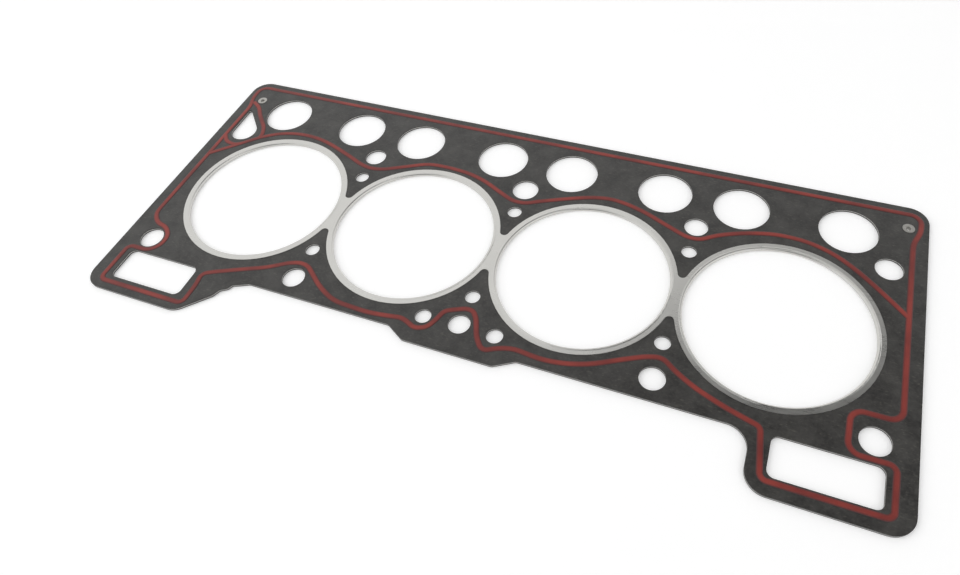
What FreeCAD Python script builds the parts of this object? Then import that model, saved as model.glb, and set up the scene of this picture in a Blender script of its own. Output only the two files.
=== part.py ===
import FreeCAD, Part
import math
import os

# Cylinder head gasket of a four-cylinder overhead-valve engine: a sheet
# steel core between two compressed-fibre facings, one pressed metal armour
# whose edges are rolled round a stopper wire at every bore, printed sealing
# beads on both faces and two small eyelets that hold the layers together.
#
# It lies flat. X runs along the row of bores and +Z points to the cylinder
# head. The origin is the middle of the row of bores, at the height of the
# plane that the rolled edges rest on. All sizes are in millimetres.

# Bores
bore_count = 4
bore_opening_d = 78.0      # inside the rolled edge
web = 7.0                  # between two neighbouring openings

# Layers
core_t = 0.3
facing_t = 0.6

# Armour and stopper wire
armour_t = 0.25            # thickness of the armour's sheet
recess_depth = 0.1         # how deep the flanges are pressed into the facings
edge_stand = 0.1           # how far the rolled edge stands above its flange
nose_land = 0.4            # straight height that the dies press on the roll's nose
flange_gap = 0.4           # between two lower flanges, in the middle of a web
bridge_tip_y = 10.75       # half the length of the metal bridge over a web
rim_gap = 0.05             # round the flanges, in their recess
wire_play = 0.02           # round the wire, in its rolled edge
bore_edge_gap = 0.15       # from the rolled edge to the layers behind it

# Outline
top_wall = 8.9             # from the tappet holes to the top edge
middle_wall = 9.4          # from the height of the flanges' rim to the lower edge between the lobes
tab_depth = 5.2            # the small tab in the middle of the lower edge
tab_half_w = 21.0
tab_ramp_w = 9.0
tab_r = 3.0
corner_r = 9.0

# Bolt holes, in two rows beside the bores
bolt_row_inset = 0.4       # inside the height of the flanges' rim
bolt_hole_d = 11.0
end_bolt_reach = 41.0      # last bore's centre to the end bolts
end_bolt_inset = 15.1      # end bolts to the end of the gasket
end_bolt_hole_d = 12.0
top_middle_hole_d = 13.0
low_middle_hole_d = 10.0

# Keyhole in the top left corner: a round part and a narrow tip
keyhole_drop = 1.8         # below the row of bolts
keyhole_r = 7.1
keyhole_tip_r = 1.0
keyhole_tip_dx = -6.2
keyhole_tip_dy = 15.3

# Tappet holes, in pairs above the bores
tappet_pair_web = 21.6     # between the two holes of a pair
tappet_web = 11.4          # between the holes of neighbouring pairs
tappet_wall = 3.9          # from the height of the flanges' rim up to the holes
end_pair_shift = 1.0       # the end pairs stand nearer the middle by this much

# Coolant holes, set in from the rows of bolts towards the bores' line
coolant_hole_d = 7.0
top_coolant_inset = 15.5
low_coolant_inset = 17.5
low_middle_coolant_inset = 15.2
coolant_pair_d = 7.5
coolant_pair_share = 0.2   # their distance from the middle, in spacings of the bores
coolant_pair_drop = 1.0    # below the row of bolts

# Windows in the end lobes, and the walls round them
window_h = 17.0
window_r = 3.2
window_start = 5.4         # last bore's centre to the window
window_end_wall = 10.5
window_top_wall = 3.2      # from the end bolts' holes
window_foot_wall = 7.5
right_lobe_wall = 7.6
left_lobe_wall = 3.3       # at its foot, where its slanted side begins

# Rough end of the left lobe's slanted side: steps from the end of the slant
rough_steps = ((1.6, 3.7), (4.9, 5.7), (5.9, 8.0), (9.3, 9.3))
rough_h = 11.1
rough_w = 13.3
rough_r = 0.8

# Eyelets in the top corners, set in from the ends and the top edge
right_eyelet_inset = (8.6, 13.1)
left_eyelet_inset = (10.8, 15.3)
eyelet_hole_d = 2.0
eyelet_wall = 0.4
eyelet_flange_d = 5.2
eyelet_flange_t = 0.2
eyelet_lip_r = 0.35
eyelet_play = 0.05         # round its shank, in the layers

# Printed beads, and the insets of their middle lines
bead_w = 2.8
bead_shoulder_w = 2.1
bead_crown_w = 1.0
bead_shoulder_h = 0.15
bead_h = 0.22
bead_top_inset = 4.3
bead_end_inset = 6.3
bead_corner_inset = 3.4    # beside the eyelets, where the bead swings out
bead_corner_r = 5.0
bead_window_r = 3.0

# Places along the gasket that follow from the sizes above
pitch = bore_opening_d + web
opening_r = bore_opening_d / 2
flange_r = (pitch - flange_gap) / 2
bore_xs = [(i - (bore_count - 1) / 2) * pitch for i in range(bore_count)]
web_xs = [(i - (bore_count - 2) / 2) * pitch for i in range(bore_count - 1)]
last_bore_x = bore_xs[-1]
end_bolt_x = last_bore_x + end_bolt_reach
end_x = end_bolt_x + end_bolt_inset
window_w = end_x - window_end_wall - last_bore_x - window_start
window_x = last_bore_x + window_start + window_w / 2
coolant_pair_x = coolant_pair_share * pitch
tappet_hole_d = (pitch - tappet_pair_web - tappet_web) / 2
tappet_spacing = tappet_hole_d + tappet_pair_web

# Places across the gasket
bolt_row_y = flange_r - bolt_row_inset
tappet_row_y = flange_r + tappet_wall + tappet_hole_d / 2
top_y = tappet_row_y + tappet_hole_d / 2 + top_wall
middle_y = -flange_r - middle_wall
tab_y = middle_y - tab_depth
window_top_y = -bolt_row_y - end_bolt_hole_d / 2 - window_top_wall
lobe_y = window_top_y - window_h - window_foot_wall
coolant_pair_y = -bolt_row_y - coolant_pair_drop
right_eyelet = (end_x - right_eyelet_inset[0], top_y - right_eyelet_inset[1])
left_eyelet = (-end_x + left_eyelet_inset[0], top_y - left_eyelet_inset[1])

# Heights: the layers lie symmetrically about the middle of the rolled edge
stack_t = core_t + 2 * facing_t
roll_r = stack_t / 2 - recess_depth + armour_t + edge_stand
middle_z = roll_r
stack_bottom_z = middle_z - stack_t / 2
stack_top_z = middle_z + stack_t / 2
recess_floor = stack_t / 2 - recess_depth
flange_face = recess_floor + armour_t

# Radii of the armour at a bore
roll_centre_r = opening_r + math.sqrt(roll_r ** 2 - (nose_land / 2) ** 2)
wire_r = roll_r - armour_t - wire_play
layer_bore_r = roll_centre_r + roll_r - armour_t + bore_edge_gap

# Below this turn, a point of a line counts as straight
straight_turn = 1e-6
soft_share = 0.45          # share of the shorter run that a soft bend takes

roll_arcs = 3              # arcs of the roll's outer side, above and below its nose


def vec(point, z=0.0):
    return FreeCAD.Vector(point[0], point[1], z)


# Lines with rounded corners
def soft_radius(before, corner, after):
    """The largest even bend at a corner that leaves both runs a straight piece."""
    run_in = math.dist(before, corner)
    run_out = math.dist(corner, after)
    turn_in = math.atan2(corner[1] - before[1], corner[0] - before[0])
    turn_out = math.atan2(after[1] - corner[1], after[0] - corner[0])
    turn = abs((turn_out - turn_in + math.pi) % (2 * math.pi) - math.pi)
    if turn < straight_turn:
        return 0.0
    return soft_share * min(run_in, run_out) / math.tan(turn / 2)


def bend(before, corner, after, radius):
    """Start, middle, end and centre of the arc that rounds a corner."""
    b = vec(corner)
    u = (vec(before) - b).normalize()
    v = (vec(after) - b).normalize()
    half = math.acos(max(-1.0, min(1.0, u.dot(v)))) / 2
    cut = radius / math.tan(half)
    inward = (u + v).normalize()
    centre = b + inward * (radius / math.sin(half))
    return b + u * cut, centre - inward * radius, b + v * cut, centre


def rounded_line(points, closed):
    """Straight and round edges along the points.

    A point is (x, y, radius), or (x, y) for the largest even bend."""
    edges = []
    count = len(points)
    first = 0 if closed else 1
    last = count if closed else count - 1
    start = None if closed else vec(points[0])
    first_start = None
    for i in range(first, last):
        before, corner, after = points[i - 1], points[i], points[(i + 1) % count]
        radius = corner[2] if len(corner) > 2 else soft_radius(before[:2], corner, after[:2])
        if radius == 0.0:
            arc_start = arc_end = vec(corner)
        else:
            arc_start, arc_middle, arc_end, centre = bend(before, corner, after, radius)
        if start is None:
            first_start = arc_start
        else:
            edges.append(Part.LineSegment(start, arc_start).toShape())
        if radius != 0.0:
            edges.append(Part.Arc(arc_start, arc_middle, arc_end).toShape())
        start = arc_end
    finish = first_start if closed else vec(points[-1])
    edges.append(Part.LineSegment(start, finish).toShape())
    return edges


# Shapes of the layers
def outline_wire():
    """The gasket's outer edge, from the top right corner round by the left."""
    slant_x = -window_x + window_w / 2 + left_lobe_wall
    right_lobe_x = window_x - window_w / 2 - right_lobe_wall
    slant_run = middle_y - rough_h - lobe_y
    rough_x, rough_y = slant_x + slant_run, lobe_y + slant_run
    steps = [(rough_x + dx, rough_y + dy, rough_r) for dx, dy in rough_steps]
    return Part.Wire(rounded_line([
        (end_x, top_y, corner_r),
        (-end_x, top_y, corner_r),
        (-end_x, lobe_y, corner_r),
        (slant_x, lobe_y, corner_r),
        (rough_x, rough_y, rough_r),
        *steps,
        (rough_x + rough_w, middle_y, rough_r),
        (-tab_half_w - tab_ramp_w, middle_y, tab_r),
        (-tab_half_w, tab_y, tab_r),
        (tab_half_w, tab_y, tab_r),
        (tab_half_w + tab_ramp_w, middle_y, tab_r),
        (right_lobe_x, middle_y, corner_r),
        (right_lobe_x, lobe_y, corner_r),
        (end_x, lobe_y, corner_r),
    ], closed=True))


def circle_wire(x, y, radius):
    return Part.Wire(Part.makeCircle(radius, FreeCAD.Vector(x, y, 0)))


def window_wire(x):
    left, right = x - window_w / 2, x + window_w / 2
    bottom_y = window_top_y - window_h
    corners = [(left, window_top_y), (left, bottom_y), (right, bottom_y), (right, window_top_y)]
    return Part.Wire(rounded_line([(*corner, window_r) for corner in corners], closed=True))


def keyhole_wire():
    """Two arcs, of the round part and the tip, joined by their tangents."""
    big = FreeCAD.Vector(-end_bolt_x, bolt_row_y - keyhole_drop, 0)
    along = FreeCAD.Vector(keyhole_tip_dx, keyhole_tip_dy, 0)
    tip = big + along
    spread = math.acos((keyhole_r - keyhole_tip_r) / along.Length)
    heading = math.atan2(along.y, along.x)

    def rim(centre, radius, angle):
        return centre + FreeCAD.Vector(math.cos(angle), math.sin(angle), 0) * radius

    left, right = heading + spread, heading - spread
    big_left, big_right = rim(big, keyhole_r, left), rim(big, keyhole_r, right)
    tip_left, tip_right = rim(tip, keyhole_tip_r, left), rim(tip, keyhole_tip_r, right)
    return Part.Wire([
        Part.Arc(big_left, rim(big, keyhole_r, heading + math.pi), big_right).toShape(),
        Part.LineSegment(big_right, tip_right).toShape(),
        Part.Arc(tip_right, rim(tip, keyhole_tip_r, heading), tip_left).toShape(),
        Part.LineSegment(tip_left, big_left).toShape(),
    ])


def bolt_wires():
    wires = [keyhole_wire()]
    wires += [circle_wire(x, y, end_bolt_hole_d / 2)
              for x, y in ((end_bolt_x, bolt_row_y), (end_bolt_x, -bolt_row_y), (-end_bolt_x, -bolt_row_y))]
    for x in web_xs:
        middle = x == 0
        top_d = top_middle_hole_d if middle else bolt_hole_d
        low_d = low_middle_hole_d if middle else bolt_hole_d
        wires += [circle_wire(x, bolt_row_y, top_d / 2), circle_wire(x, -bolt_row_y, low_d / 2)]
    return wires


def tappet_wires():
    wires = []
    for x in bore_xs:
        at_end = x in (bore_xs[0], last_bore_x)
        pair_x = x - math.copysign(end_pair_shift, x) if at_end else x
        for side in (-1, 1):
            wires.append(circle_wire(pair_x + side * tappet_spacing / 2, tappet_row_y, tappet_hole_d / 2))
    return wires


def coolant_wires():
    wires = []
    for x in web_xs:
        low_inset = low_middle_coolant_inset if x == 0 else low_coolant_inset
        wires += [circle_wire(x, y, coolant_hole_d / 2)
                  for y in (bolt_row_y - top_coolant_inset, low_inset - bolt_row_y)]
    for side in (-1, 1):
        wires.append(circle_wire(side * coolant_pair_x, coolant_pair_y, coolant_pair_d / 2))
    return wires


def layer_face():
    """The outline with every hole that goes through all the layers."""
    bores = [circle_wire(x, 0, layer_bore_r) for x in bore_xs]
    windows = [window_wire(side * window_x) for side in (-1, 1)]
    shank_r = eyelet_hole_d / 2 + eyelet_wall + eyelet_play
    eyelets = [circle_wire(*place, shank_r) for place in (left_eyelet, right_eyelet)]
    holes = bores + windows + eyelets + bolt_wires() + tappet_wires() + coolant_wires()
    return Part.Face([outline_wire()] + holes, "Part::FaceMakerBullseye")


def layer(bottom_z, thickness):
    plate = layer_face().extrude(FreeCAD.Vector(0, 0, thickness))
    plate.translate(FreeCAD.Vector(0, 0, bottom_z))
    return plate


def linked_discs_wire(grow):
    """Discs about the bores, joined over each web by a bridge with round throats.

    grow makes the whole outline larger by that much."""
    half_pitch = pitch / 2
    throat_r = (half_pitch ** 2 + bridge_tip_y ** 2 - flange_r ** 2) / (2 * (flange_r - bridge_tip_y))
    throat_y = bridge_tip_y + throat_r
    reach = math.hypot(half_pitch, throat_y)
    disc_r = flange_r + grow
    touch_x, touch_y = half_pitch * disc_r / reach, throat_y * disc_r / reach
    throat_x = half_pitch - touch_x

    def arc(x, left, right, side, height):
        ends = [FreeCAD.Vector(x + dx, side * touch_y, 0) for dx in (left, right)]
        return Part.Arc(ends[0], FreeCAD.Vector(x, side * height, 0), ends[1]).toShape()

    edges = []
    for side in (1, -1):
        edges += [arc(x, -touch_x, touch_x, side, disc_r) for x in bore_xs[1:-1]]
        edges += [arc(x, -throat_x, throat_x, side, bridge_tip_y + grow) for x in web_xs]
        end_touch_x = side * (last_bore_x - touch_x)
        edges.append(Part.Arc(
            FreeCAD.Vector(end_touch_x, -touch_y, 0),
            FreeCAD.Vector(side * (last_bore_x + disc_r), 0, 0),
            FreeCAD.Vector(end_touch_x, touch_y, 0)).toShape())
    return Part.Wire(Part.__sortEdges__(edges))


def recess(face_side):
    """The flanges' pressed seat in the upper (1) or lower (-1) face of the layers."""
    seat = Part.Face(linked_discs_wire(rim_gap)).extrude(FreeCAD.Vector(0, 0, face_side * stack_t))
    seat.translate(FreeCAD.Vector(0, 0, middle_z + face_side * recess_floor))
    return seat


def steel_core():
    return layer(stack_bottom_z + facing_t, core_t)


def facing_lower():
    return layer(stack_bottom_z, facing_t).cut(recess(-1))


def facing_upper():
    return layer(stack_top_z - facing_t, facing_t).cut(recess(1))


# Armour, with its stopper wires
def rolled_edge(x):
    """One bore's edge: two flanges joined by a roll that is open at the back.

    The roll is round but for a short straight land on its nose, on the opening's radius."""
    inner_r = roll_r - armour_t
    outer_run = math.sqrt(roll_r ** 2 - flange_face ** 2)
    inner_run = math.sqrt(inner_r ** 2 - recess_floor ** 2)
    back, nose = math.asin(flange_face / roll_r), math.pi - math.asin(nose_land / 2 / roll_r)

    def at(radius, height):
        return FreeCAD.Vector(radius, 0, middle_z + height)

    def outer_arcs(start, finish):
        step = (finish - start) / roll_arcs
        angles = [[start + (i + share) * step for share in (0, 0.5, 1)] for i in range(roll_arcs)]
        return [Part.Arc(*(at(roll_centre_r + roll_r * math.cos(a), roll_r * math.sin(a)) for a in three)).toShape()
                for three in angles]

    outer_top, outer_low = (at(roll_centre_r + outer_run, s * flange_face) for s in (1, -1))
    nose_top, nose_low = (at(opening_r, s * nose_land / 2) for s in (1, -1))
    inner_top, inner_low = (at(roll_centre_r + inner_run, s * recess_floor) for s in (1, -1))
    rim_top, rim_low = at(flange_r, flange_face), at(flange_r, -flange_face)
    seat_top, seat_low = at(flange_r, recess_floor), at(flange_r, -recess_floor)
    profile = Part.Face(Part.Wire([
        Part.LineSegment(rim_top, outer_top).toShape(),
        *outer_arcs(back, nose),
        Part.LineSegment(nose_top, nose_low).toShape(),
        *outer_arcs(-nose, -back),
        Part.LineSegment(outer_low, rim_low).toShape(),
        Part.LineSegment(rim_low, seat_low).toShape(),
        Part.LineSegment(seat_low, inner_low).toShape(),
        Part.Arc(inner_low, at(roll_centre_r - inner_r, 0), inner_top).toShape(),
        Part.LineSegment(inner_top, seat_top).toShape(),
        Part.LineSegment(seat_top, rim_top).toShape(),
    ]))
    ring = profile.revolve(FreeCAD.Vector(0, 0, 0), FreeCAD.Vector(0, 0, 1), 360)
    ring.translate(FreeCAD.Vector(x, 0, 0))
    return ring


def bore_armour():
    """Four rolled edges on one upper sheet that bridges the webs."""
    seam_r = (roll_centre_r + roll_r + flange_r) / 2
    sheet = Part.Face([linked_discs_wire(0.0)] + [circle_wire(x, 0, seam_r) for x in bore_xs])
    plate = sheet.extrude(FreeCAD.Vector(0, 0, armour_t))
    plate.translate(FreeCAD.Vector(0, 0, middle_z + recess_floor))
    return plate.multiFuse([rolled_edge(x) for x in bore_xs]).removeSplitter()


def stopper_wire(x):
    return Part.makeTorus(roll_centre_r, wire_r, FreeCAD.Vector(x, 0, middle_z))


# Printed beads. Their middle lines are given beside the holes and edges that
# they pass: row is the bolts' distance from the bores' line, rim the flanges'.
def outer_line_right():
    """From the top right corner down to the foot of the right lobe and to the middle."""
    row, rim = bolt_row_y, flange_r
    side_x, corner_x = end_x - bead_end_inset, end_x - bead_corner_inset
    run_y = top_y - bead_top_inset
    over_bolt_y, beside_bolt_x = -row + 10.7, end_bolt_x - 9.4
    window_y, low_y = window_top_y + 1.6, window_top_y - window_h - 1.8
    out_x, in_x = window_x + window_w / 2 + 3.2, window_x - window_w / 2 - 4.5
    bore_x, web_x, pair_x, pair_y = bore_xs[-2], web_xs[-1], coolant_pair_x, coolant_pair_y
    return [
        (corner_x, run_y, bead_corner_r), (corner_x, run_y - 2 * bead_corner_r),
        (side_x, right_eyelet[1] - 8.5), (side_x, over_bolt_y, bead_corner_r),
        (beside_bolt_x, over_bolt_y, bead_corner_r), (beside_bolt_x, window_y, bead_corner_r),
        (out_x, window_y, bead_window_r), (out_x, low_y, bead_window_r),
        (in_x + 2.7, low_y, bead_window_r), (in_x, -row - 7.6, bead_window_r),
        (last_bore_x - 14.2, -rim - 3.0), (web_x + 15.8, -row + 1.4),
        (web_x + 7.1, -row + 6.4), (web_x + 1.7, -row + 10.6), (web_x - 5.0, -row + 8.9),
        (web_x - 15.0, -row + 3.9), (bore_x + 17.5, -rim - 1.1), (bore_x + 7.5, -rim - 4.2),
        (bore_x - 2.5, -rim - 5.4), (bore_x - 15.8, -rim - 4.0), (pair_x + 3.0, pair_y - 5.5),
        (pair_x - 2.4, pair_y - 8.5), (pair_x - 7.0, pair_y - 3.4), (6.0, -row + 4.9),
        (3.3, -row + 8.1),
    ]


def outer_line_left():
    """On from the middle, round the left lobe and up to the top left corner."""
    row, rim = bolt_row_y, flange_r
    side_x, corner_x = end_x - bead_end_inset, end_x - bead_corner_inset
    run_y = top_y - bead_top_inset
    low_y = window_top_y - window_h - 3.0
    out_x, in_x = window_x + window_w / 2 + 3.4, window_x - window_w / 2 - 5.0
    bore_x, web_x, pair_x, pair_y = bore_xs[-2], web_xs[-1], coolant_pair_x, coolant_pair_y
    bolt_x, window_y = end_bolt_x, window_top_y
    ahead = [
        (0.0, -row + 8.3), (5.0, -row + 6.2), (9.0, -row + 4.2), (pair_x - 6.2, pair_y - 0.6),
        (pair_x - 4.0, pair_y - 5.1), (pair_x + 1.2, pair_y - 7.0), (pair_x + 5.5, pair_y - 4.9),
        (pair_x + 9.0, pair_y - 3.9), (bore_x - 9.5, -rim - 5.6), (bore_x - 0.5, -rim - 6.6),
        (bore_x + 17.5, -rim - 5.7), (web_x - 15.0, -row - 1.1), (web_x - 7.5, -row + 4.7),
        (web_x - 3.5, -row + 7.8), (web_x + 1.0, -row + 8.6), (web_x + 6.7, -row + 6.8),
        (web_x + 15.0, -row + 1.4), (last_bore_x - 17.5, -rim - 2.4),
        (last_bore_x - 4.2, -rim - 8.2), (in_x + 1.4, window_y - 2.4), (in_x, window_y - 8.6),
        (in_x, low_y, bead_window_r), (out_x, low_y, bead_window_r),
        (out_x, window_y + 1.6, bead_window_r), (bolt_x - 3.4, -row - 7.6),
        (bolt_x - 7.8, -row - 3.2), (bolt_x - 7.8, -row + 3.2), (bolt_x - 3.2, -row + 7.8),
        (bolt_x + 4.0, -row + 9.3), (side_x, -row + 14.4), (side_x, left_eyelet[1] - 5.8),
        (corner_x, run_y - 2 * bead_corner_r), (corner_x, run_y, bead_corner_r),
    ]
    return mirrored(ahead)


def inner_line():
    """Between the bores and the tappet holes, from the right end to the left."""
    row, rim, side_x = bolt_row_y, flange_r, end_x - bead_end_inset
    bore_x, web_x, last_x, bolt_x = bore_xs[-2], web_xs[-1], last_bore_x, end_bolt_x
    right = [
        (side_x, rim - 24.4), (bolt_x - 3.5, rim - 13.1), (bolt_x - 13.5, rim - 4.8),
        (last_x + 17.5, rim + 1.5), (last_x + 5.8, rim + 5.2), (last_x - 7.5, rim + 5.6),
        (last_x - 20.8, rim + 2.3), (web_x + 10.8, row - 1.9), (web_x + 3.0, row - 7.3),
        (web_x - 3.0, row - 7.4), (web_x - 15.0, row - 2.3), (bore_x + 17.5, rim + 1.7),
        (bore_x + 7.5, rim + 4.5), (bore_x - 0.5, rim + 5.5), (bore_x - 9.2, rim + 3.9),
        (bore_x - 19.2, rim + 0.1), (10.0, row - 5.3), (3.0, row - 8.9),
    ]
    left = [
        (3.3, row - 9.1), (11.7, row - 5.3), (bore_x - 20.8, rim - 0.7), (bore_x - 10.8, rim + 2.2),
        (bore_x + 0.8, rim + 3.2), (bore_x + 12.5, rim + 2.8), (web_x - 19.7, row - 1.9),
        (web_x - 8.0, row - 7.5), (web_x - 1.3, row - 8.6), (web_x + 5.0, row - 7.4),
        (web_x + 13.7, row - 3.6), (last_x - 14.7, rim + 1.2), (last_x - 6.3, rim + 3.5),
        (last_x + 2.8, rim + 4.4), (last_x + 11.2, rim + 3.7), (last_x + 19.5, rim + 1.2),
        (bolt_x - 12.5, rim - 4.3), (bolt_x - 3.5, rim - 12.8), (side_x, rim - 23.8),
    ]
    return right + mirrored(left)


def keyhole_branches():
    """The two stretches of bead that close a loop round the keyhole."""
    side_x, below_eyelet_y = -end_x + bead_end_inset, left_eyelet[1] - 2.3
    x, y = -end_bolt_x, bolt_row_y - keyhole_drop
    lower = [(side_x, y - 5.6), (x - 5.1, y - 10.3), (x + 0.9, y - 11.5), (x + 4.9, y - 9.4)]
    upper = [
        (x + 12.0, y - 3.0), (x + 12.2, y), (x + 9.7, y + 5.7), (x + 1.4, y + 14.1),
        (x - 2.8, below_eyelet_y - 3.5), (side_x, below_eyelet_y),
    ]
    return lower, upper


def mirrored(points):
    return [(-point[0], *point[1:]) for point in points]


def bead_piece(edge):
    """One straight or round stretch of bead, standing on the upper face."""
    start = edge.valueAt(edge.FirstParameter)
    ahead = edge.tangentAt(edge.FirstParameter)
    across = FreeCAD.Vector(-ahead.y, ahead.x, 0)
    levels = ((bead_w, 0), (bead_shoulder_w, bead_shoulder_h), (bead_crown_w, bead_h))
    left, right = ([start + across * (side * w / 2) + FreeCAD.Vector(0, 0, h) for w, h in levels]
                   for side in (-1, 1))
    corners = right + left[::-1]
    section = Part.Face(Part.makePolygon(corners + [corners[0]]))
    if isinstance(edge.Curve, Part.Circle):
        turn = math.degrees(edge.LastParameter - edge.FirstParameter)
        return section.revolve(edge.Curve.Center, edge.Curve.Axis, turn)
    return section.extrude(edge.valueAt(edge.LastParameter) - start)


def bead_upper():
    loop = rounded_line(outer_line_right() + outer_line_left(), closed=True)
    middle = rounded_line(inner_line(), closed=False)
    lower, upper = (rounded_line(branch, closed=False) for branch in keyhole_branches())
    pieces = [bead_piece(edge) for edge in loop + middle + lower + upper]
    bead = pieces[0].multiFuse(pieces[1:]).removeSplitter()
    bead.translate(FreeCAD.Vector(0, 0, stack_top_z))
    return bead


def bead_lower(upper):
    return upper.mirror(FreeCAD.Vector(0, 0, middle_z), FreeCAD.Vector(0, 0, 1))


# Eyelets
def eyelet(place):
    """A short tube with a flange turned over each face of the layers."""
    hole_r = eyelet_hole_d / 2
    shank_r, flange_end_r = hole_r + eyelet_wall, eyelet_flange_d / 2
    lip_r, half_t = eyelet_lip_r, stack_t / 2
    face = half_t + eyelet_flange_t
    lip_cut = lip_r * (1 - math.sqrt(0.5))

    def at(radius, height):
        return FreeCAD.Vector(radius, 0, middle_z + height)

    edges = []
    for s in (1, -1):
        edges += [
            Part.LineSegment(at(shank_r, 0), at(shank_r, s * half_t)).toShape(),
            Part.LineSegment(at(shank_r, s * half_t), at(flange_end_r, s * half_t)).toShape(),
            Part.LineSegment(at(flange_end_r, s * half_t), at(flange_end_r, s * face)).toShape(),
            Part.LineSegment(at(flange_end_r, s * face), at(hole_r + lip_r, s * face)).toShape(),
            Part.Arc(at(hole_r + lip_r, s * face), at(hole_r + lip_cut, s * (face - lip_cut)),
                     at(hole_r, s * (face - lip_r))).toShape(),
            Part.LineSegment(at(hole_r, s * (face - lip_r)), at(hole_r, 0)).toShape(),
        ]
    profile = Part.Face(Part.Wire(Part.__sortEdges__(edges)))
    tube = profile.revolve(FreeCAD.Vector(0, 0, 0), FreeCAD.Vector(0, 0, 1), 360)
    tube.translate(vec(place))
    return tube


def build():
    nodes = {
        "steel_core": steel_core(),
        "facing_lower": facing_lower(),
        "facing_upper": facing_upper(),
        "bore_armour": bore_armour(),
    }
    for i, x in enumerate(bore_xs):
        nodes["stopper_wire_%d" % (i + 1)] = stopper_wire(x)
    nodes["bead_upper"] = bead_upper()
    nodes["bead_lower"] = bead_lower(nodes["bead_upper"])
    nodes["eyelet_left"] = eyelet(left_eyelet)
    nodes["eyelet_right"] = eyelet(right_eyelet)
    return nodes


os.makedirs("parts", exist_ok=True)
for name, shape in build().items():
    print(name, "solids", len(shape.Solids), "valid", shape.isValid(), "volume", round(shape.Volume, 2))
    shape.exportStep("parts/%s.step" % name)
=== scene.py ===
# %% [markdown]
# # A cylinder head gasket
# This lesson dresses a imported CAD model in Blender. The model is already right in
# shape: a thin laminate with a steel core between two dark fibre facings, a pressed
# metal armour rolled round each cylinder bore, a printed red sealing bead on both
# faces and two small eyelets. What is left to make is what the eye reads as
# material, light and lens. Everything is in metres, and +Z points up.

# %% Load the model
import math

import bpy
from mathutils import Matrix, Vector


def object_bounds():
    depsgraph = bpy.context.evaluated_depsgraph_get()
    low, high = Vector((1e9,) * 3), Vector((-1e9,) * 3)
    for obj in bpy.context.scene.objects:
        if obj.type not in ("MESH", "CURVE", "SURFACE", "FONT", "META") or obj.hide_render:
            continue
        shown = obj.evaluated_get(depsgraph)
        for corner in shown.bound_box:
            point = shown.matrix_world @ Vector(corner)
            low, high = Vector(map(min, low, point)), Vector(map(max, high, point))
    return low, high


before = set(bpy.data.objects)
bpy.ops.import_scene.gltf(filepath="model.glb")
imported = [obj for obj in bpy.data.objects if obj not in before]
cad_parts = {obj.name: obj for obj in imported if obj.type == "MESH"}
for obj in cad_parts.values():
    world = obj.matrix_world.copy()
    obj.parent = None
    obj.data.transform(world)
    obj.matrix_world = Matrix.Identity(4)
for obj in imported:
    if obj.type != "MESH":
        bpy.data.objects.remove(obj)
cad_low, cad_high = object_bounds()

scene = bpy.context.scene
print("nodes:", ", ".join(sorted(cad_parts)))
print("size in mm:", [round(1000 * side, 1) for side in cad_high - cad_low])

# %% [markdown]
# ## Three small helpers
# A colour is easiest to name as a hex value, as a paint chart does. The renderer
# counts in linear light, so one function turns the one into the other. The second
# helper adds a shader node: settings go to the node itself, and inputs take either
# a number or the socket of another node, which is then linked. The third starts a
# material with an empty node tree.

# %% Colours, nodes and materials
MM = 0.001


def linear(hex_colour):
    """sRGB hex to linear red, green, blue and alpha, by the standard's own curve."""
    channels = [int(hex_colour[i:i + 2], 16) / 255 for i in (0, 2, 4)]
    values = [c / 12.92 if c <= 0.04045 else ((c + 0.055) / 1.055) ** 2.4 for c in channels]
    return (*values, 1.0)


def add(tree, kind, inputs=None, **settings):
    """Adds a node. An input that is given a socket is linked to it."""
    made = tree.nodes.new(kind)
    for name, value in settings.items():
        setattr(made, name, value)
    for name, value in (inputs or {}).items():
        if isinstance(value, bpy.types.NodeSocket):
            tree.links.new(value, made.inputs[name])
        else:
            made.inputs[name].default_value = value
    return made


def start_material(name):
    """A material and its node tree, still empty."""
    made = bpy.data.materials.new(name)
    made.use_nodes = True
    made.node_tree.nodes.clear()
    return made, made.node_tree


print("white is", linear("FFFFFF"))

# %% [markdown]
# ## The camera
# The picture looks down on the gasket from its long lower side, a little to the
# right, from close by: the right end is much larger than the left one. A plain
# wide lens at a quarter of a metre gives that. The small shift moves the frame
# sideways without turning the camera.

# %% Camera
IMAGE_SIZE = (960, 575)
CAMERA_PLACE = (97.74 * MM, -178.22 * MM, 247.41 * MM)
CAMERA_TURN = (36.172, 4.363, 20.645)
FILM_WIDTH, FOCAL_LENGTH, SIDE_SHIFT = 36.0, 25.581, -0.0372
camera = bpy.data.objects.new("camera", bpy.data.cameras.new("camera"))
scene.collection.objects.link(camera)
camera.location = CAMERA_PLACE
camera.rotation_euler = [math.radians(degrees) for degrees in CAMERA_TURN]
camera.data.sensor_width = FILM_WIDTH
camera.data.lens = FOCAL_LENGTH
camera.data.shift_x = SIDE_SHIFT
camera.data.clip_start = 0.01
scene.camera = camera
print("frame", IMAGE_SIZE, "lens", round(camera.data.lens, 1), "mm")

# %% [markdown]
# ## The floor and the white background
# The object lies on plain white. A floor that is only lit would turn grey towards
# its edges, so it also glows a little for the rays that the camera sees it by, and
# for those that mirror it in the metal. What the lamps add on top still carries the
# object's soft shadow.

# %% Floor
FLOOR_SIZE, FLOOR_GLOW = 12.0, 0.2
bpy.ops.object.select_all(action="DESELECT")
bpy.ops.mesh.primitive_plane_add(size=FLOOR_SIZE, location=(0, 0, 0))
floor = bpy.context.object
floor.name = "floor"


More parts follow.
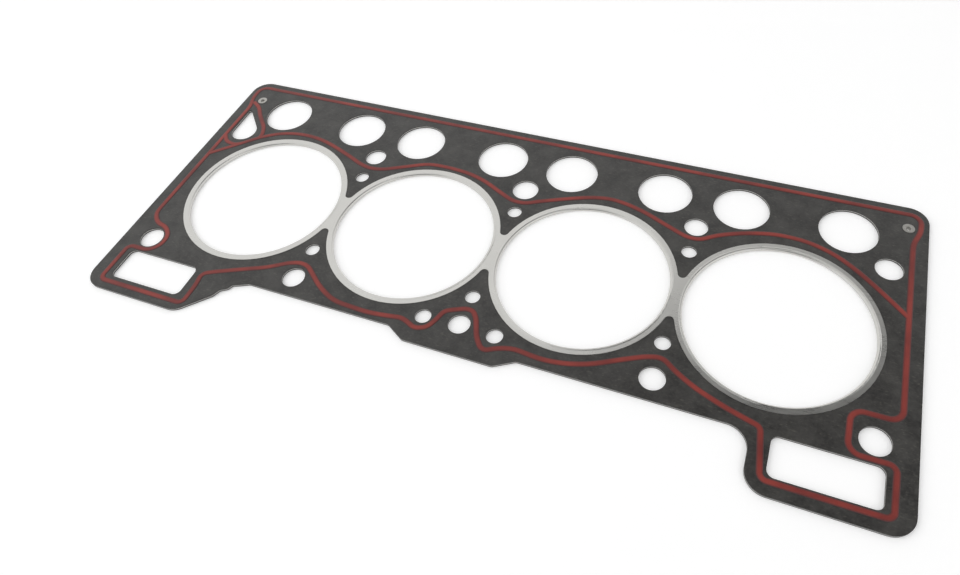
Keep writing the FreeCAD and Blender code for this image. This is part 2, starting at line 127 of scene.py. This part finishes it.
def background_rays(tree):
    """1 for the rays that show the background: to the camera, in a mirror and through glass."""
    rays = add(tree, "ShaderNodeLightPath")
    seen = add(tree, "ShaderNodeMath", {
        0: rays.outputs["Is Camera Ray"], 1: rays.outputs["Is Glossy Ray"]}, operation="MAXIMUM")
    return add(tree, "ShaderNodeMath", {
        0: seen.outputs[0], 1: rays.outputs["Is Transmission Ray"]}, operation="MAXIMUM").outputs[0]


matte_white, tree = start_material("white_matte_paper")
glow = add(tree, "ShaderNodeMath", {0: background_rays(tree), 1: FLOOR_GLOW}, operation="MULTIPLY")
paper = add(tree, "ShaderNodeBsdfDiffuse", {"Color": linear("F4F4F4")})
light = add(tree, "ShaderNodeEmission", {"Color": linear("FFFFFF"), "Strength": glow.outputs[0]})
both = add(tree, "ShaderNodeAddShader", {0: paper.outputs[0], 1: light.outputs[0]})
add(tree, "ShaderNodeOutputMaterial", {"Surface": both.outputs[0]})
floor.data.materials.append(matte_white)
print("floor", FLOOR_SIZE, "m wide, glow", FLOOR_GLOW)

# %% [markdown]
# ## Light
# Two large soft lamps stand in front, behind the camera's shoulders. They only light
# the object: they are hidden from mirror rays, so the rolled edges mirror the white
# background and not a lamp. The world fills in the rest evenly, and is white where
# the camera or the metal sees it. A dark card hangs high behind the right end,
# outside the picture. The metal there mirrors the card, so the rings go from bright
# at the left to dark grey at the right, and the facing gets deeper to the right too.
# A grey card in front stands where a photographer would be. The rolled edges on the
# far sides of the bores mirror it, which sets them off from the flat metal.
# Both cards are hidden from the camera, so no other view shows them.

# %% World and lamps
world = bpy.data.worlds.new("studio")
scene.world = world
world.use_nodes = True
tree = world.node_tree
tree.nodes.clear()
WORLD_FILL, WORLD_SHOWN = 0.7, 1.0
strength = add(tree, "ShaderNodeMapRange", {
    "Value": background_rays(tree), "To Min": WORLD_FILL, "To Max": WORLD_SHOWN})
sky = add(tree, "ShaderNodeBackground", {"Color": linear("FFFFFF"), "Strength": strength.outputs[0]})
add(tree, "ShaderNodeOutputWorld", {"Surface": sky.outputs[0]})


def soft_lamp(name, place, width, watts):
    """A square lamp that faces the middle of the object."""
    lamp = bpy.data.objects.new(name, bpy.data.lights.new(name, "AREA"))
    lamp.data.shape = "SQUARE"
    lamp.data.size = width
    lamp.data.energy = watts
    lamp.location = place
    lamp.rotation_euler = lamp.location.to_track_quat("Z", "Y").to_euler()
    lamp.visible_glossy = False
    scene.collection.objects.link(lamp)


def matte_card(name, place, width, colour):
    """A square card that faces the middle of the object, for the metal to mirror."""
    bpy.ops.object.select_all(action="DESELECT")
    bpy.ops.mesh.primitive_plane_add(size=width, location=place)
    card = bpy.context.object
    card.name = name
    card.rotation_euler = card.location.to_track_quat("Z", "Y").to_euler()
    card.visible_camera = False
    finish, tree = start_material(name + "_board")
    board = add(tree, "ShaderNodeBsdfDiffuse", {"Color": linear(colour)})
    add(tree, "ShaderNodeOutputMaterial", {"Surface": board.outputs[0]})
    card.data.materials.append(finish)


soft_lamp("key_lamp", place=(-1.1, -0.9, 1.3), width=2.0, watts=20.0)
soft_lamp("front_lamp", place=(1.0, -0.9, 1.2), width=1.8, watts=10.0)
matte_card("dark_card", place=(0.63, 0.84, 2.25), width=1.8, colour="505050")
matte_card("front_card", place=(0.1, -0.99, 0.69), width=1.1, colour="787878")
print("world fill", WORLD_FILL)

# %% [markdown]
# ## The fibre facing
# Compressed fibre sheet is pulp of short fibres in rubber and graphite, rolled flat
# under pressure. It is nearly black, with paler and darker clouds some millimetres
# wide, and short fibres that catch the light. It could be painted, but noise in
# three sizes says the same: clouds for the colour, grain for the roughness, and
# stretched grain for the fibres.

# %% Facing material
def scaled_coordinates(tree, stretch=(1, 1, 1), turn=0.0):
    """Object coordinates, stretched and turned about Z."""
    place = add(tree, "ShaderNodeTexCoord")
    return add(tree, "ShaderNodeMapping", {
        "Vector": place.outputs["Object"], "Scale": stretch, "Rotation": (0, 0, turn)})


CLOUD, GRAIN, FIBRE = 9 * MM, 1.1 * MM, 0.5 * MM
fibre_sheet, tree = start_material("compressed_fibre_sheet")
flat = scaled_coordinates(tree)
clouds = add(tree, "ShaderNodeTexNoise", {
    "Vector": flat.outputs[0], "Scale": 1 / CLOUD, "Detail": 4.0, "Roughness": 0.62})
grain = add(tree, "ShaderNodeTexNoise", {
    "Vector": flat.outputs[0], "Scale": 1 / GRAIN, "Detail": 3.0, "Roughness": 0.6})
along = scaled_coordinates(tree, stretch=(0.3, 1, 1), turn=math.radians(24))
fibres = add(tree, "ShaderNodeTexNoise", {
    "Vector": along.outputs[0], "Scale": 1 / FIBRE, "Detail": 2.0})
across = scaled_coordinates(tree, stretch=(0.3, 1, 1), turn=math.radians(-57))
cross_fibres = add(tree, "ShaderNodeTexNoise", {
    "Vector": across.outputs[0], "Scale": 1 / FIBRE, "Detail": 2.0})
cloud_colour = add(tree, "ShaderNodeValToRGB", {"Fac": clouds.outputs["Fac"]})
ramp = cloud_colour.color_ramp
ramp.elements[0].position, ramp.elements[0].color = 0.34, linear("232221")
ramp.elements[1].position, ramp.elements[1].color = 0.68, linear("3D3C3A")
grain_share = add(tree, "ShaderNodeMapRange", {
    "Value": grain.outputs["Fac"], "From Min": 0.38, "From Max": 0.66, "To Min": 0.0, "To Max": 0.3})
grained = add(tree, "ShaderNodeMix", {
    "Factor": grain_share.outputs[0], 6: cloud_colour.outputs[0], 7: linear("4A4845")}, data_type="RGBA")
most_fibre = add(tree, "ShaderNodeMath", {
    0: fibres.outputs["Fac"], 1: cross_fibres.outputs["Fac"]}, operation="MAXIMUM")
fibre_share = add(tree, "ShaderNodeMapRange", {
    "Value": most_fibre.outputs[0], "From Min": 0.62, "From Max": 0.74, "To Min": 0.0, "To Max": 0.3})
coloured = add(tree, "ShaderNodeMix", {
    "Factor": fibre_share.outputs[0], 6: grained.outputs[2], 7: linear("6A675F")}, data_type="RGBA")
rough = add(tree, "ShaderNodeMapRange", {
    "Value": grain.outputs["Fac"], "From Min": 0.3, "From Max": 0.7, "To Min": 0.34, "To Max": 0.48})
height = add(tree, "ShaderNodeMath", {0: grain.outputs["Fac"], 1: most_fibre.outputs[0]}, operation="ADD")
relief = add(tree, "ShaderNodeBump", {"Height": height.outputs[0], "Strength": 0.2, "Distance": 0.05 * MM})
surface = add(tree, "ShaderNodeBsdfPrincipled", {
    "Base Color": coloured.outputs[2], "Roughness": rough.outputs[0],
    "Normal": relief.outputs[0], "IOR": 1.5})
add(tree, "ShaderNodeOutputMaterial", {"Surface": surface.outputs[0]})
print("facing clouds", CLOUD / MM, "mm, fibres", FIBRE / MM, "mm")

# %% [markdown]
# ## The bore armour
# The armour is thin bright steel sheet, pressed and rolled over. Sheet keeps faint
# lines from the rolls of the mill, all in one direction, and handling adds a soft
# unevenness. Both go to the roughness, because bright metal shows its surface more
# by its reflections than by its colour.

# %% Armour material
MILL_LINE, HANDLING = 0.25 * MM, 12 * MM
bright_sheet, tree = start_material("bright_rolled_steel_sheet")
mill = scaled_coordinates(tree, stretch=(0.03, 1, 1))
lines = add(tree, "ShaderNodeTexNoise", {
    "Vector": mill.outputs[0], "Scale": 1 / MILL_LINE, "Detail": 2.0})
flat = scaled_coordinates(tree)
handling = add(tree, "ShaderNodeTexNoise", {
    "Vector": flat.outputs[0], "Scale": 1 / HANDLING, "Detail": 3.0})
together = add(tree, "ShaderNodeMath", {
    0: lines.outputs["Fac"], 1: handling.outputs["Fac"]}, operation="ADD")
rough = add(tree, "ShaderNodeMapRange", {
    "Value": together.outputs[0], "From Min": 0.7, "From Max": 1.3, "To Min": 0.26, "To Max": 0.36})
surface = add(tree, "ShaderNodeBsdfPrincipled", {
    "Base Color": linear("CFCECA"), "Metallic": 1.0, "Roughness": rough.outputs[0]})
add(tree, "ShaderNodeOutputMaterial", {"Surface": surface.outputs[0]})
print("mill lines", MILL_LINE / MM, "mm apart")

# %% [markdown]
# ## The printed bead
# The bead is silicone that was screen-printed as a line and cured. It is dark red
# and satin. Its crown is painted a lighter, warmer red as a painted highlight, and
# its edges a darker red as painted shade, so the height of a point above the middle
# of the gasket chooses the colour there. A slow noise lets the red vary along the line.

# %% Bead material
MIDDLE = (cad_low.z + cad_high.z) / 2
# Heights above the middle of the gasket: below the first the bead gets a darker red as painted shade,
# above the second a lighter red as painted highlight.
EDGE_SHADE_HEIGHT, CROWN_HIGHLIGHT_HEIGHT = 0.84 * MM, 0.97 * MM
PRINT_WAVE, SKIN = 14 * MM, 0.8 * MM
silicone, tree = start_material("printed_red_silicone")
flat = scaled_coordinates(tree)
parts = add(tree, "ShaderNodeSeparateXYZ", {0: flat.outputs[0]})
above = add(tree, "ShaderNodeMath", {0: parts.outputs["Z"], 1: MIDDLE}, operation="SUBTRACT")
rise = add(tree, "ShaderNodeMath", {0: above.outputs[0]}, operation="ABSOLUTE")
# How far a point is towards the crown's painted highlight, by its height.
painted_highlight_share = add(tree, "ShaderNodeMapRange", {"Value": rise.outputs[0], "From Min": EDGE_SHADE_HEIGHT, "From Max": CROWN_HIGHLIGHT_HEIGHT})
print_depth = add(tree, "ShaderNodeTexNoise", {
    "Vector": flat.outputs[0], "Scale": 1 / PRINT_WAVE, "Detail": 3.0})
crown_highlight_red = add(tree, "ShaderNodeValToRGB", {"Fac": print_depth.outputs["Fac"]})
ramp = crown_highlight_red.color_ramp
ramp.elements[0].position, ramp.elements[0].color = 0.36, linear("722F2B")
ramp.elements[1].position, ramp.elements[1].color = 0.64, linear("8B3932")
# Painted shade and highlight: a darker red at the edges and a lighter red on the crown, chosen by height;
# the noise only varies the crown red along the line.
red = add(tree, "ShaderNodeMix", {
    "Factor": painted_highlight_share.outputs[0], 6: linear("432828"), 7: crown_highlight_red.outputs[0]}, data_type="RGBA")
skin = add(tree, "ShaderNodeTexNoise", {"Vector": flat.outputs[0], "Scale": 1 / SKIN, "Detail": 3.0})
rough = add(tree, "ShaderNodeMapRange", {
    "Value": skin.outputs["Fac"], "From Min": 0.3, "From Max": 0.7, "To Min": 0.34, "To Max": 0.5})
relief = add(tree, "ShaderNodeBump", {
    "Height": skin.outputs["Fac"], "Strength": 0.3, "Distance": 0.04 * MM})
surface = add(tree, "ShaderNodeBsdfPrincipled", {
    "Base Color": red.outputs[2], "Roughness": rough.outputs[0], "Normal": relief.outputs[0], "IOR": 1.43})
add(tree, "ShaderNodeOutputMaterial", {"Surface": surface.outputs[0]})
# The height from which the crown shows its painted highlight.
print("bead red is full", CROWN_HIGHLIGHT_HEIGHT / MM, "mm from the middle of the gasket")

# %% [markdown]
# ## Core, wires and eyelets
# The core shows only as a thin line in the cut edges, and the wires only through
# the gap behind a rolled edge. Both are plain steel. The eyelets are short tubes
# with their ends turned over, a little duller than the armour.

# %% Steel materials
STEEL_SPOT = 1.2 * MM


def plain_steel(name, colour, smoothest, roughest):
    """Steel whose roughness varies in spots of about a millimetre."""
    made, tree = start_material(name)
    flat = scaled_coordinates(tree)
    spots = add(tree, "ShaderNodeTexNoise", {
        "Vector": flat.outputs[0], "Scale": 1 / STEEL_SPOT, "Detail": 3.0})
    rough = add(tree, "ShaderNodeMapRange", {
        "Value": spots.outputs["Fac"], "From Min": 0.3, "From Max": 0.7,
        "To Min": smoothest, "To Max": roughest})
    surface = add(tree, "ShaderNodeBsdfPrincipled", {
        "Base Color": linear(colour), "Metallic": 1.0, "Roughness": rough.outputs[0]})
    add(tree, "ShaderNodeOutputMaterial", {"Surface": surface.outputs[0]})
    return made


cut_steel = plain_steel("cut_cold_rolled_steel", "C4C3BF", 0.35, 0.55)
wire_steel = plain_steel("drawn_steel_wire", "BDBCB8", 0.25, 0.4)
eyelet_steel = plain_steel("turned_over_steel_eyelet", "AEACA7", 0.28, 0.42)
print("steels:", cut_steel.name, wire_steel.name, eyelet_steel.name)

# %% [markdown]
# ## Putting the materials on
# A CAD node keeps its mesh. Only what its material slots hold is exchanged.

# %% Assign
FINISHES = {
    "steel_core": cut_steel,
    "facing_lower": fibre_sheet,
    "facing_upper": fibre_sheet,
    "bore_armour": bright_sheet,
    "bead_upper": silicone,
    "bead_lower": silicone,
    "eyelet_left": eyelet_steel,
    "eyelet_right": eyelet_steel,
}
for name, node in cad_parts.items():
    finish = wire_steel if name.startswith("stopper_wire") else FINISHES[name]
    for place in node.material_slots:
        place.material = finish
    print(name, "has", finish.name)

# %% [markdown]
# ## Colours as written
# The Standard view shows a colour as it was given.

# %% Finish
scene.view_settings.view_transform = "Standard"
